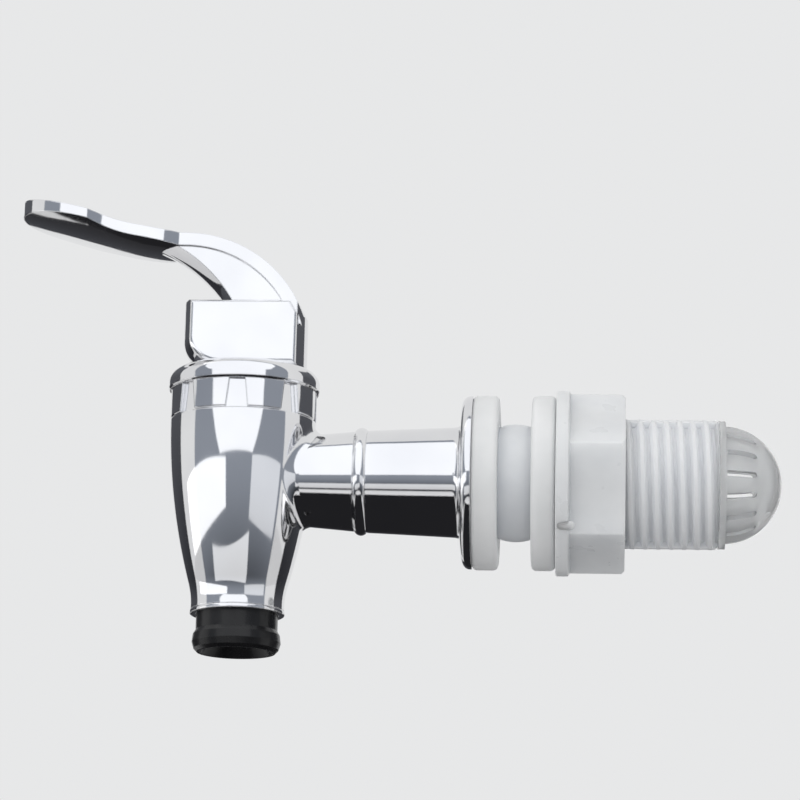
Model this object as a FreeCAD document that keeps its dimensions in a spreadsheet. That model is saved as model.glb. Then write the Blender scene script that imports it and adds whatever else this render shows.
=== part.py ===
"""Push-lever spigot for a beverage dispenser, in millimetres.

The origin is the centre of the front washer's sealing face, where the tank wall bears, on
the shank axis. +X runs along the shank into the tank, +Z is up, and the drinker stands on
the -X side.
"""
import FreeCAD, Part
import math
import os
import Sketcher

DRIVING_SIZES = [
    # Layout and fits
    ("arm_reach", 36.0),
    ("run_fit", 0.05),
    ("loose_fit", 0.12),
    ("face_gap", 0.05),
    ("tank_wall_room", 5.1),
    ("washer_past", 0.2),
    ("small_cut", 0.25),
    # Barrel of the tap body
    ("shoulder_high", 9.2),
    ("barrel_side_rad", 110.0),
    ("neck_rad", 9.3),
    ("neck_long", 4.0),
    ("neck_wall", 1.6),
    ("shoulder_step", 2.05),
    ("nozzle_rad", 7.1),
    ("nozzle_long", 3.0),
    ("nozzle_wall", 0.75),
    ("nozzle_rim_drop", 21.2),
    ("rim_bead", 0.25),
    ("chamber_low_rad", 6.0),
    ("seat_wall", 4.0),
    ("seat_bore_rad", 4.0),
    # Arm stub of the tap body
    ("stub_root_rad", 6.25),
    ("stub_wall", 1.7),
    ("bead_rise", 0.45),
    ("bead_wide", 1.9),
    ("arm_blend_rad", 1.5),
    # Cover with its flange
    ("cover_long", 16.35),
    ("cover_flare", 0.61),
    ("cover_room", 0.25),
    ("flange_reach", 3.45),
    ("flange_thick", 1.7),
    ("flange_blend", 1.2),
    # Shank
    ("tube_rad", 6.2),
    ("tube_wall", 2.0),
    ("tube_stop", 10.05),
    ("waist_step", 1.4),
    ("waist_bulge", 0.5),
    ("thread_rad", 10.0),
    ("thread_pitch", 2.0),
    ("thread_deep", 1.05),
    ("thread_root_wide", 0.5),
    ("thread_gap_wide", 1.44),
    ("thread_lead", 0.75),
    ("end_cut", 0.4),
    ("strip_deg", 26.0),
    ("strip_turn", 13.0),
    ("strip_step", 0.05),
    ("bore_taper_start", 1.0),
    ("bore_taper_end", 2.0),
    ("shank_long", 37.7),
    ("shank_bore_rad", 7.2),
    ("ring_section_rad", 0.6),
    ("ring_set", 4.2),
    # Washers and lock nut
    ("washer_reach", 3.5),
    ("front_washer_thick", 4.0),
    ("rear_washer_thick", 3.7),
    ("washer_corner", 0.8),
    ("nut_wall", 2.04),
    ("nut_long", 10.6),
    ("nut_lip_rise", 0.4),
    ("nut_lip_thick", 1.9),
    ("nut_corner_cut", 0.5),
    ("nut_turn", 16.6),
    # Strainer
    ("strainer_flange", 1.05),
    ("dome_step", 0.92),
    ("dome_wall", 1.3),
    ("spigot_long", 4.0),
    ("slot_count", 16),
    ("slot_wide", 0.9),
    ("slot_long", 4.6),
    # Collar nut
    ("band_high", 4.73),
    ("collar_step", 0.45),
    ("collar_round", 2.1),
    ("collar_lip", 1.4),
    ("collar_hole_rad", 7.0),
    ("notch_count", 8),
    ("notch_top_wide", 2.45),
    ("notch_low_wide", 3.5),
    ("notch_deep", 0.8),
    ("notch_turn", 3.0),
    # Stem guide
    ("guide_room", 0.2),
    ("guide_flange", 1.5),
    # Seat cup
    ("cup_flange", 1.2),
    ("cup_wall", 1.0),
    ("cup_room", 0.3),
    ("cup_nose_rad", 4.9),
    ("cup_floor", 3.4),
    # Stem
    ("stem_rad", 2.6),
    ("stem_flat", 2.3),
    ("foot_rad", 2.2),
    ("knob_rad", 3.0),
    ("knob_high", 2.0),
    ("disc_edge", 0.4),
    ("disc_thick", 1.2),
    ("spring_room", 12.9),
    # Spring
    ("wire_rad", 0.4),
    ("coil_room", 0.9),
    ("coil_turns", 5.5),
    # Pivot
    ("pin_rise", 6.2),
    ("pin_rad", 1.25),
    ("pin_cover", 1.0),
    ("swing_deg", 24.0),
    # Lever head
    ("head_rad", 9.7),
    ("head_half_wide", 5.3),
    ("head_high", 10.45),
    ("cam_rad", 4.4),
    ("head_edge", 0.9),
    ("head_back_cut", 1.1),
    ("head_back_drop", 2.2),
    # Lever neck and paddle
    ("neck_half_wide", 4.9),
    ("web_half_wide", 4.6),
    ("bend_high", 6.85),
    ("neck_rise", 21.25),
    ("neck_set", 9.5),
    ("band_thick", 1.4),
    ("band_belly", 0.9),
    ("web_front_set", 13.6),
    ("web_foot_set", 1.9),
    ("web_bend", 25.0),
    ("nose_front_set", 4.1),
    ("nose_foot_set", 1.5),
    ("paddle_bend", 45.0),
    ("paddle_tilt", 15.1),
    ("paddle_reach", 35.9),
    ("paddle_neck_set", 10.5),
    ("paddle_swell", 0.8),
    ("tip_rad", 9.0),
    ("tip_back", 2.4),
    # Spout tip
    ("tip_socket_deep", 4.2),
    ("tip_wall", 1.7),
    ("tip_hang", 5.8),
    ("tip_lip_high", 3.0),
    ("tip_lip_rise", 0.55),
    ("tip_mouth_step", 1.1),
]

doc = FreeCAD.newDocument("spigot")
sheet = doc.addObject("Spreadsheet::Sheet", "Sizes")
for row, (alias, size) in enumerate(DRIVING_SIZES, start=1):
    sheet.set("A%d" % row, alias)
    sheet.set("B%d" % row, str(size))
    sheet.setAlias("B%d" % row, alias)
doc.recompute()


# Sizes that follow from the driving ones, as expressions
def size(alias):
    return "Sizes." + alias


def plus(*terms):
    return " + ".join("(%s)" % term for term in terms)


def minus(first, *rest):
    return "(%s)" % first + "".join(" - (%s)" % term for term in rest)


def negative(term):
    return "-(%s)" % term


def number(expression):
    return float(sheet.evalExpression(expression))


S = {alias: size(alias) for alias, _ in DRIVING_SIZES}
FACE_X = negative(S["front_washer_thick"])
AXIS_X = minus(FACE_X, S["arm_reach"])

SHOULDER_RAD = "(%s)" % plus(S["neck_rad"], S["shoulder_step"])
COLLAR_RAD = "(%s)" % plus(SHOULDER_RAD, S["collar_step"])
CHAMBER_RAD = "(%s)" % minus(S["neck_rad"], S["neck_wall"])
GUIDE_RAD = "(%s)" % minus(S["neck_rad"], S["guide_room"])
NECK_TOP = "(%s)" % plus(S["shoulder_high"], S["neck_long"])
BAND_TOP = "(%s)" % plus(S["shoulder_high"], S["band_high"])
CUP_TOP = "(%s)" % plus(NECK_TOP, S["cup_flange"])
GUIDE_TOP = "(%s)" % plus(CUP_TOP, S["guide_flange"])
COLLAR_TOP = "(%s)" % plus(GUIDE_TOP, S["collar_lip"])
HUB_TOP = "(%s)" % plus(COLLAR_TOP, S["face_gap"])
PIVOT_HIGH = "(%s)" % plus(HUB_TOP, S["face_gap"], S["pin_rise"])

RIM_Z = "(%s)" % negative(S["nozzle_rim_drop"])
SOCKET_Z = "(%s)" % plus(RIM_Z, S["tip_socket_deep"])
SEAT_Z = "(%s)" % plus(SOCKET_Z, S["seat_wall"])
SLEEVE_RAD = "(%s)" % minus(S["nozzle_rad"], S["nozzle_wall"], S["run_fit"])

STUB_BORE_RAD = "(%s)" % plus(S["tube_rad"], S["run_fit"])
STUB_END_RAD = "(%s)" % plus(STUB_BORE_RAD, S["stub_wall"])
WATER_BORE_RAD = "(%s)" % minus(S["tube_rad"], S["tube_wall"])
TUBE_START_X = "(%s)" % minus(S["tube_stop"], S["arm_reach"])

REAR_WASHER_X = "(%s)" % plus(S["front_washer_thick"], S["tank_wall_room"])
NUT_X = "(%s)" % plus(REAR_WASHER_X, S["rear_washer_thick"], S["face_gap"])
THREAD_X = "(%s)" % plus(REAR_WASHER_X, S["washer_past"])
WAIST_RAD = "(%s)" % minus(S["thread_rad"], S["waist_step"])
WASHER_RAD = "(%s)" % plus(S["thread_rad"], S["washer_reach"])
WASHER_BORE_RAD = "(%s)" % plus(S["thread_rad"], S["loose_fit"])
NUT_BORE_RAD = "(%s)" % plus(S["thread_rad"], S["run_fit"])
NUT_RAD = "((%s + %s) / cos(30deg))" % (S["thread_rad"], S["nut_wall"])
DOME_RAD = "(%s)" % minus(S["thread_rad"], S["dome_step"])

COIL_RAD = "(%s)" % plus(S["stem_rad"], S["coil_room"], S["wire_rad"])
DISC_RAD = "(%s)" % plus(COIL_RAD, S["wire_rad"], S["disc_edge"])
DISC_HIGH = "(%s)" % minus(CUP_TOP, S["spring_room"])
CUP_NOSE_Z = "(%s)" % plus(SEAT_Z, S["face_gap"])

PADDLE_HALF_WIDE = "(%s)" % plus(S["tip_rad"], S["paddle_swell"])
PADDLE_WIDE_SET = "(%s)" % minus(S["paddle_reach"], S["tip_rad"], S["tip_back"])


# Helpers
def new_body(label, x="0", z="0"):
    body = doc.addObject("PartDesign::Body", label)
    body.Label = label
    body.setExpression("Placement.Base.x", x)
    body.setExpression("Placement.Base.z", z)
    return body


def new_sketch(body, name, role):
    sketch = body.newObject("Sketcher::SketchObject", name)
    base = [feature for feature in body.Origin.OriginFeatures if feature.Role == role][0]
    sketch.AttachmentSupport = [(base, "")]
    sketch.MapMode = "FlatFace"
    return sketch


def arc_geometry(start, end, radius, turn):
    """Short arc from start to end; turn is left for anticlockwise, right for clockwise."""
    chord = end - start
    half = chord.Length / 2
    rise = math.sqrt(max(radius * radius - half * half, 0.0))
    side = FreeCAD.Vector(-chord.y, chord.x, 0) / chord.Length
    centre = (start + end) / 2 + side * (rise if turn == "left" else -rise)
    first, last = (start, end) if turn == "left" else (end, start)
    first_angle = math.atan2(first.y - centre.y, first.x - centre.x)
    last_angle = math.atan2(last.y - centre.y, last.x - centre.x)
    circle = Part.Circle(centre, FreeCAD.Vector(0, 0, 1), radius)
    return Part.ArcOfCircle(circle, first_angle, last_angle)


def trace(sketch, corners):
    """Adds one closed outline, fully constrained from the sketch's origin.

    A corner is (x, y), or (x, y, radius, turn) where an arc leads from it to the next.
    """
    spots = [FreeCAD.Vector(number(corner[0]), number(corner[1]), 0) for corner in corners]
    edges = []
    for index, corner in enumerate(corners):
        start, end = spots[index], spots[(index + 1) % len(spots)]
        if len(corner) == 2:
            edge = sketch.addGeometry(Part.LineSegment(start, end))
            edges.append((edge, 1, 2))
            continue
        edge = sketch.addGeometry(arc_geometry(start, end, number(corner[2]), corner[3]))
        edges.append((edge, 1, 2) if corner[3] == "left" else (edge, 2, 1))
    for index, (edge, start, end) in enumerate(edges):
        following = edges[(index + 1) % len(edges)]
        sketch.addConstraint(Sketcher.Constraint("Coincident", edge, end, following[0], following[1]))
    for (edge, start, end), spot, corner in zip(edges, spots, corners):
        for kind, value, expression in (
            ("DistanceX", spot.x, corner[0]),
            ("DistanceY", spot.y, corner[1]),
        ):
            rule = sketch.addConstraint(Sketcher.Constraint(kind, -1, 1, edge, start, value))
            sketch.setExpression("Constraints[%d]" % rule, expression)
        if len(corner) == 4:
            rule = sketch.addConstraint(Sketcher.Constraint("Radius", edge, number(corner[2])))
            sketch.setExpression("Constraints[%d]" % rule, corner[2])


def turned(body, name, corners, axis="V_Axis", kind="Revolution", angle=360, midplane=False, seam=0):
    """Revolves (or grooves) an outline drawn in the XZ plane about a sketch axis.

    A seam angle turns the outline's plane about that axis, which moves the seam of the round faces.
    """
    sketch = new_sketch(body, name + "_outline", "XZ_Plane")
    trace(sketch, corners)
    if seam:
        about = FreeCAD.Vector(0, 1, 0) if axis == "V_Axis" else FreeCAD.Vector(1, 0, 0)
        sketch.AttachmentOffset = FreeCAD.Placement(FreeCAD.Vector(0, 0, 0), FreeCAD.Rotation(about, seam))
    feature = body.newObject("PartDesign::" + kind, name)
    feature.Profile = sketch
    feature.ReferenceAxis = (sketch, [axis])
    feature.Angle = angle
    feature.Midplane = midplane
    sketch.Visibility = False
    doc.recompute()
    return feature


def padded(body, name, sketch, length, symmetric=False, reverse=False):
    feature = body.newObject("PartDesign::Pad", name)
    feature.Profile = sketch
    feature.setExpression("Length", length)
    if symmetric:
        feature.SideType = "Symmetric"
    feature.Reversed = reverse
    doc.recompute()
    return feature


def pocketed(body, name, sketch, length, symmetric=False, reverse=False):
    """Cuts a sketch into the body and checks that it removed material."""
    before = body.Shape.Volume
    feature = body.newObject("PartDesign::Pocket", name)
    feature.Profile = sketch
    feature.setExpression("Length", length)
    if symmetric:
        feature.SideType = "Symmetric"
    feature.Reversed = reverse
    doc.recompute()
    if body.Shape.Volume >= before:
        raise ValueError(name + " cuts nothing")
    return feature


def lofted(body, name, sections):
    """Smooth loft through side outlines; each section is (place across, corners)."""
    sketches = []
    for index, (across, corners) in enumerate(sections, start=1):
        sketch = new_sketch(body, "%s_outline_%d" % (name, index), "XZ_Plane")
        trace(sketch, corners)
        sketch.setExpression("AttachmentOffset.Base.z", across)
        sketch.Visibility = False
        sketches.append(sketch)
    feature = body.newObject("PartDesign::AdditiveLoft", name)
    feature.Profile = sketches[0]
    feature.Sections = sketches[1:]
    doc.recompute()
    return feature


def screwed(body, name, corners, pitch, length):
    """Cuts a right-hand helical groove of the given outline about the X axis."""
    tooth = new_sketch(body, name + "_outline", "XZ_Plane")
    trace(tooth, corners)
    before = body.Shape.Volume
    feature = body.newObject("PartDesign::SubtractiveHelix", name)
    feature.Profile = tooth
    feature.ReferenceAxis = (tooth, ["H_Axis"])
    feature.Mode = "pitch-height-angle"
    feature.setExpression("Pitch", pitch)
    feature.setExpression("Height", length)
    tooth.Visibility = False
    doc.recompute()
    if body.Shape.Volume >= before:
        raise ValueError(name + " cuts nothing")
    return feature


def patterned(body, name, feature, role, count):
    ring = body.newObject("PartDesign::PolarPattern", name)
    ring.Originals = [feature]
    axis = [part for part in body.Origin.OriginFeatures if part.Role == role][0]
    ring.Axis = (axis, [""])
    ring.Angle = 360
    ring.setExpression("Occurrences", count)
    body.Tip = ring
    doc.recompute()
    return ring


def rounded(body, name, feature, radius, chosen):
    """Fillets every edge of the feature that the test chosen(edge) picks."""
    names = ["Edge%d" % (index + 1) for index, edge in enumerate(feature.Shape.Edges) if chosen(edge)]
    if not names:
        raise ValueError(name + " finds no edge")
    fillet = body.newObject("PartDesign::Fillet", name)
    fillet.Base = (feature, names)
    fillet.setExpression("Radius", radius)
    body.Tip = fillet
    doc.recompute()
    return fillet


# Tap body: barrel, arm stub and bead, one moulding
def build_tap_body():
    body = new_body("tap_body", x=AXIS_X)
    rim = RIM_Z
    bead_rad = plus(S["nozzle_rad"], S["rim_bead"])
    bead_low = plus(rim, S["rim_bead"])
    bead_top = plus(rim, "3 * (%s)" % S["rim_bead"])
    turned(body, "barrel", [
        ("0", rim),
        (S["nozzle_rad"], rim, S["rim_bead"], "left"),
        (bead_rad, bead_low),
        (bead_rad, minus(bead_top, S["rim_bead"]), S["rim_bead"], "left"),
        (S["nozzle_rad"], bead_top),
        (S["nozzle_rad"], plus(rim, S["nozzle_long"]), S["barrel_side_rad"], "right"),
        (SHOULDER_RAD, S["shoulder_high"]),
        (S["neck_rad"], S["shoulder_high"]),
        (S["neck_rad"], NECK_TOP),
        ("0", NECK_TOP),
    ], seam=180)
    stub_end = minus(S["arm_reach"], S["cover_long"])
    bead_start = minus(stub_end, S["bead_wide"])
    bead_top_rad = plus(STUB_END_RAD, S["bead_rise"])
    bead_foot = plus(S["stub_root_rad"], "(%s - %s) * (%s) / (%s)" % (
        STUB_END_RAD, S["stub_root_rad"], bead_start, stub_end))
    bead_bend = "(%s / 2 * %s / 2 + %s * %s) / (2 * %s)" % (
        S["bead_wide"], S["bead_wide"], S["bead_rise"], S["bead_rise"], S["bead_rise"])
    arm = turned(body, "arm_stub", [
        ("0", "0"),
        (stub_end, "0"),
        (stub_end, STUB_END_RAD, bead_bend, "left"),
        (minus(stub_end, S["bead_wide"] + " / 2"), bead_top_rad, bead_bend, "left"),
        (bead_start, STUB_END_RAD),
        (bead_start, bead_foot),
        ("0", S["stub_root_rad"]),
    ], axis="H_Axis")

    def is_join(edge):
        return type(edge.Curve).__name__ == "BSplineCurve"

    rounded(body, "arm_blend", arm, S["arm_blend_rad"], is_join)
    turned(body, "chamber", [
        ("0", SEAT_Z),
        (S["chamber_low_rad"], SEAT_Z),
        (CHAMBER_RAD, SEAT_Z + " / 4"),
        (CHAMBER_RAD, plus(NECK_TOP, "1")),
        ("0", plus(NECK_TOP, "1")),
    ], kind="Groove")
    turned(body, "outlet", [
        ("0", minus(rim, "1")),
        (plus(SLEEVE_RAD, S["run_fit"]), minus(rim, "1")),
        (plus(SLEEVE_RAD, S["run_fit"]), SOCKET_Z),
        (S["seat_bore_rad"], SOCKET_Z),
        (S["seat_bore_rad"], plus(SEAT_Z, "1")),
        ("0", plus(SEAT_Z, "1")),
    ], kind="Groove")
    tube_start = minus(S["tube_stop"], S["face_gap"])
    turned(body, "arm_bore", [
        ("0", "0"),
        (plus(stub_end, "1"), "0"),
        (plus(stub_end, "1"), STUB_BORE_RAD),
        (tube_start, STUB_BORE_RAD),
        (tube_start, WATER_BORE_RAD),
        ("0", WATER_BORE_RAD),
    ], axis="H_Axis", kind="Groove")
    return body


# Cover: the conical chrome sleeve with the flange that hides the tank hole
def build_flange_cover():
    body = new_body("flange_cover", x=FACE_X)
    front = negative(S["cover_long"])
    face = negative(S["flange_thick"])
    blend = S["flange_blend"]
    edge = "(0.8 * %s)" % S["flange_thick"]
    inner = plus(S["tube_rad"], S["cover_room"])
    end_rad = plus(STUB_END_RAD, S["cover_flare"])
    flange_rad = plus(S["thread_rad"], S["flange_reach"])
    turned(body, "shell", [
        (front, inner),
        (front, STUB_END_RAD),
        (minus(face, blend), end_rad, blend, "left"),
        (face, plus(end_rad, blend)),
        (face, minus(flange_rad, edge), edge, "right"),
        (minus(edge, S["flange_thick"]), flange_rad),
        ("0", flange_rad),
        ("0", inner),
    ], axis="H_Axis")
    return body


# Shank: the translucent threaded tube that carries the water through the tank wall
def build_shank():
    body = new_body("shank", x=FACE_X)
    start = TUBE_START_X
    shoulder_end = minus(S["front_washer_thick"], S["face_gap"])
    shoulder_rad = minus(S["thread_rad"], S["face_gap"])
    waist_span = minus(THREAD_X, shoulder_end)
    waist_bend = "((%s) * (%s) / 4 + %s * %s) / (2 * %s)" % (
        waist_span, waist_span, S["waist_bulge"], S["waist_bulge"], S["waist_bulge"])
    groove_start = plus(start, S["ring_set"], negative(S["ring_section_rad"]))
    groove_end = plus(start, S["ring_set"], S["ring_section_rad"])
    groove_rad = minus(STUB_BORE_RAD, "2 * " + S["ring_section_rad"])
    turned(body, "tube", [
        (start, WATER_BORE_RAD),
        (start, S["tube_rad"]),
        (groove_start, S["tube_rad"]),
        (groove_start, groove_rad),
        (groove_end, groove_rad),
        (groove_end, S["tube_rad"]),
        ("0", S["tube_rad"]),
        ("0", shoulder_rad),
        (shoulder_end, shoulder_rad),
        (shoulder_end, WAIST_RAD, waist_bend, "right"),
        (THREAD_X, WAIST_RAD),
        (THREAD_X, minus(S["thread_rad"], S["end_cut"])),
        (plus(THREAD_X, S["end_cut"]), S["thread_rad"]),
        (minus(S["shank_long"], S["end_cut"]), S["thread_rad"]),
        (S["shank_long"], minus(S["thread_rad"], S["end_cut"])),
        (S["shank_long"], S["shank_bore_rad"]),
        (plus(THREAD_X, S["bore_taper_start"]), S["shank_bore_rad"]),
        (minus(THREAD_X, S["bore_taper_end"]), WATER_BORE_RAD),
    ], axis="H_Axis")
    cut_thread(body)
    return body


def cut_thread(body):
    """Right-hand thread, then the two smooth strips that the mould's parting line leaves along it."""
    root = minus(S["thread_rad"], S["thread_deep"])
    over = "0.3"
    start = minus(THREAD_X, S["thread_lead"])
    root_half = S["thread_root_wide"] + " / 2"
    flank = "((%s - %s) / (2 * %s))" % (S["thread_gap_wide"], S["thread_root_wide"], S["thread_deep"])
    top_half = plus(S["thread_gap_wide"] + " / 2", "%s * %s" % (flank, over))
    screwed(body, "thread", [
        (minus(start, root_half), root),
        (plus(start, root_half), root),
        (plus(start, top_half), plus(S["thread_rad"], over)),
        (minus(start, "(%s)" % top_half), plus(S["thread_rad"], over)),
    ], S["thread_pitch"], minus(S["shank_long"], "(%s)" % THREAD_X, "-2 * " + S["thread_lead"]))
    inside = minus(root, "0.4")
    outside = minus(S["thread_rad"], S["strip_step"])
    strip = turned(body, "mould_strip", [
        (THREAD_X, inside),
        (THREAD_X, minus(outside, S["end_cut"])),
        (plus(THREAD_X, S["end_cut"]), outside),
        (minus(S["shank_long"], S["end_cut"]), outside),
        (S["shank_long"], minus(outside, S["end_cut"])),
        (S["shank_long"], inside),
    ], axis="H_Axis", angle=number(S["strip_deg"]), midplane=True, seam=number(S["strip_turn"]))
    patterned(body, "mould_strips", strip, "X_Axis", "2")


def build_shank_o_ring():
    ring = doc.addObject("Part::Torus", "shank_o_ring")
    ring.Label = "shank_o_ring"
    ring.setExpression("Radius1", minus(STUB_BORE_RAD, S["ring_section_rad"]))
    ring.setExpression("Radius2", S["ring_section_rad"])
    ring.Placement = FreeCAD.Placement(FreeCAD.Vector(0, 0, 0), FreeCAD.Rotation(FreeCAD.Vector(0, 1, 0), 90))
    ring.setExpression("Placement.Base.x", plus(FACE_X, TUBE_START_X, S["ring_set"]))
    return ring


# Washers: soft rings with rounded corners on both sides of the tank wall
def build_washer(label, x, thickness):
    body = new_body(label, x=x)
    corner = S["washer_corner"]
    far = minus(thickness, corner)
    turned(body, label + "_ring", [
        ("0", WASHER_BORE_RAD),
        ("0", minus(WASHER_RAD, corner), corner, "right"),
        (corner, WASHER_RAD),
        (far, WASHER_RAD, corner, "right"),
        (thickness, minus(WASHER_RAD, corner)),
        (thickness, WASHER_BORE_RAD),
    ], axis="H_Axis")
    return body


# Lock nut: six-sided, with a round lip against the rear washer
def build_lock_nut():
    body = new_body("lock_nut", x=plus(FACE_X, NUT_X))
    side = new_sketch(body, "nut_sides", "YZ_Plane")
    corners = []
    for step in range(6):
        turn = "(%s + %d) * 1deg" % (S["nut_turn"], 60 * step)
        corners.append(("%s * cos(%s)" % (NUT_RAD, turn), "%s * sin(%s)" % (NUT_RAD, turn)))
    trace(side, corners)
    padded(body, "nut_block", side, S["nut_long"])
    cut = S["nut_corner_cut"]
    turned(body, "nut_corner_bevel", [
        (minus(S["nut_long"], cut), plus(NUT_RAD, "0.1")),
        (plus(S["nut_long"], "0.1"), minus(NUT_RAD, cut)),
        (plus(S["nut_long"], "0.1"), plus(NUT_RAD, "0.1")),
    ], axis="H_Axis", kind="Groove")
    lip = S["nut_lip_thick"]
    lip_rad = plus(NUT_RAD, S["nut_lip_rise"])
    turned(body, "nut_lip", [
        ("0", "0"),
        ("0", minus(lip_rad, "0.2")),
        ("0.2", lip_rad),
        (lip, lip_rad),
        (plus(lip, "0.3"), minus(lip_rad, "0.6")),
        (plus(lip, "0.3"), "0"),
    ], axis="H_Axis")
    turned(body, "nut_bore", [
        ("-1", "0"),
        ("-1", NUT_BORE_RAD),
        (plus(S["nut_long"], "1"), NUT_BORE_RAD),
        (plus(S["nut_long"], "1"), "0"),
    ], axis="H_Axis", kind="Groove")
    return body


# Strainer: slotted dome on a flange that closes the end of the shank
def build_strainer():
    body = new_body("strainer", x=plus(FACE_X, S["shank_long"], "0.02"))
    flange = S["strainer_flange"]
    centre = minus(flange, "0.36")
    inner = minus(DOME_RAD, S["dome_wall"])
    spigot = minus(S["shank_bore_rad"], S["run_fit"])
    spigot_in = minus(S["shank_bore_rad"], S["dome_wall"])
    start = negative(S["spigot_long"])
    meet = "sqrt(%s * %s - (%s - (%s)) * (%s - (%s)))" % (
        DOME_RAD, DOME_RAD, flange, centre, flange, centre)
    turned(body, "dome", [
        (start, spigot_in),
        (start, spigot),
        ("0", spigot),
        ("0", minus(S["thread_rad"], "0.1")),
        (flange, minus(S["thread_rad"], "0.1")),
        (flange, meet, DOME_RAD, "right"),
        (plus(centre, DOME_RAD), "0"),
        (plus(centre, inner), "0", inner, "left"),
        (centre, inner),
        (centre, spigot_in),
    ], axis="H_Axis")
    slot = new_sketch(body, "slot_outline", "XZ_Plane")
    half = S["slot_wide"] + " / 2"
    end = plus(flange, S["slot_long"], negative(half))
    trace(slot, [
        (plus(flange, "0.1"), negative(half)),
        (end, negative(half), half, "left"),
        (plus(end, half), "0", half, "left"),
        (end, half),
        (plus(flange, "0.1"), half),
    ])
    cut = pocketed(body, "slot", slot, plus(DOME_RAD, "1"))
    patterned(body, "slots", cut, "X_Axis", S["slot_count"])
    return body


# Collar nut: screws on the barrel's neck and clamps the guide and the cup's flange
def build_collar_nut():
    body = new_body("collar_nut", x=AXIS_X)
    low = plus(S["shoulder_high"], S["face_gap"])
    bore = plus(S["neck_rad"], S["run_fit"])
    top = COLLAR_TOP
    bend = S["collar_round"]
    step = S["small_cut"]
    turned(body, "collar", [
        (bore, low),
        (minus(SHOULDER_RAD, step), low),
        (SHOULDER_RAD, plus(low, step)),
        (SHOULDER_RAD, BAND_TOP),
        (minus(COLLAR_RAD, step), BAND_TOP),
        (COLLAR_RAD, plus(BAND_TOP, step)),
        (COLLAR_RAD, minus(top, bend), bend, "left"),
        (minus(COLLAR_RAD, bend), top),
        (S["collar_hole_rad"], top),
        (S["collar_hole_rad"], GUIDE_TOP),
        (bore, GUIDE_TOP),
    ])
    notch = new_sketch(body, "notch_outline", "XZ_Plane")
    trace(notch, [
        (negative(S["notch_low_wide"] + " / 2"), minus(low, "0.1")),
        (S["notch_low_wide"] + " / 2", minus(low, "0.1")),
        (S["notch_top_wide"] + " / 2", BAND_TOP),
        (negative(S["notch_top_wide"] + " / 2"), BAND_TOP),
    ])
    notch.AttachmentOffset = FreeCAD.Placement(
        FreeCAD.Vector(0, 0, 0), FreeCAD.Rotation(FreeCAD.Vector(0, 1, 0), number(S["notch_turn"])))
    notch.setExpression("AttachmentOffset.Base.z", minus(SHOULDER_RAD, S["notch_deep"]))
    cut = pocketed(body, "notch", notch, plus(S["notch_deep"], "1"), reverse=True)
    patterned(body, "notches", cut, "Z_Axis", S["notch_count"])
    return body


def double_flat(sketch, radius, flat):
    """Round section with two flats across Y."""
    x = "sqrt(%s * %s - %s * %s)" % (radius, radius, flat, flat)
    trace(sketch, [
        (x, negative(flat), radius, "left"),
        (x, flat),
        (negative(x), flat, radius, "left"),
        (negative(x), negative(flat)),
    ])


# Stem guide: disc under the collar's lip, with a flatted hole that keeps the stem from turning
def build_stem_guide():
    body = new_body("stem_guide", x=AXIS_X)
    hub = minus(S["collar_hole_rad"], S["run_fit"])
    turned(body, "guide_disc", [
        ("0", CUP_TOP),
        (GUIDE_RAD, CUP_TOP),
        (GUIDE_RAD, GUIDE_TOP),
        (hub, GUIDE_TOP),
        (hub, HUB_TOP),
        ("0", HUB_TOP),
    ])
    hole = new_sketch(body, "guide_hole", "XY_Plane")
    double_flat(hole, "(%s)" % plus(S["stem_rad"], S["run_fit"]), "(%s)" % plus(S["stem_flat"], S["run_fit"]))
    pocketed(body, "guide_bore", hole, plus(HUB_TOP, "1"), reverse=True)
    return body


# Seat cup: the soft bell that closes the outlet and seals the barrel below the guide
def build_seat_cup():
    body = new_body("seat_cup", x=AXIS_X)
    inner = plus(DISC_RAD, S["cup_room"])
    outer = plus(inner, S["cup_wall"])
    nose = CUP_NOSE_Z
    floor = plus(nose, S["cup_floor"])
    knob_low = plus(nose, "1")
    knob_top = plus(knob_low, S["knob_high"])
    turned(body, "bell", [
        ("0", nose),
        (minus(S["cup_nose_rad"], "0.5"), nose),
        (S["cup_nose_rad"], plus(nose, "0.8")),
        (outer, minus(DISC_HIGH, "3")),
        (outer, minus(NECK_TOP, "1")),
        (minus(CHAMBER_RAD, "0.2"), minus(NECK_TOP, "0.2")),
        (minus(CHAMBER_RAD, "0.2"), NECK_TOP),
        (GUIDE_RAD, NECK_TOP),
        (GUIDE_RAD, CUP_TOP),
        (inner, CUP_TOP),
        (inner, minus(DISC_HIGH, "2")),
        (plus(S["foot_rad"], "0.05"), plus(floor, "2.4")),
        (plus(S["foot_rad"], "0.05"), knob_top),
        (plus(S["knob_rad"], "0.05"), minus(knob_top, "0.3")),
        (plus(S["knob_rad"], "0.05"), minus(knob_low, "0.05")),
        ("0", minus(knob_low, "0.05")),
    ])
    return body


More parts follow.
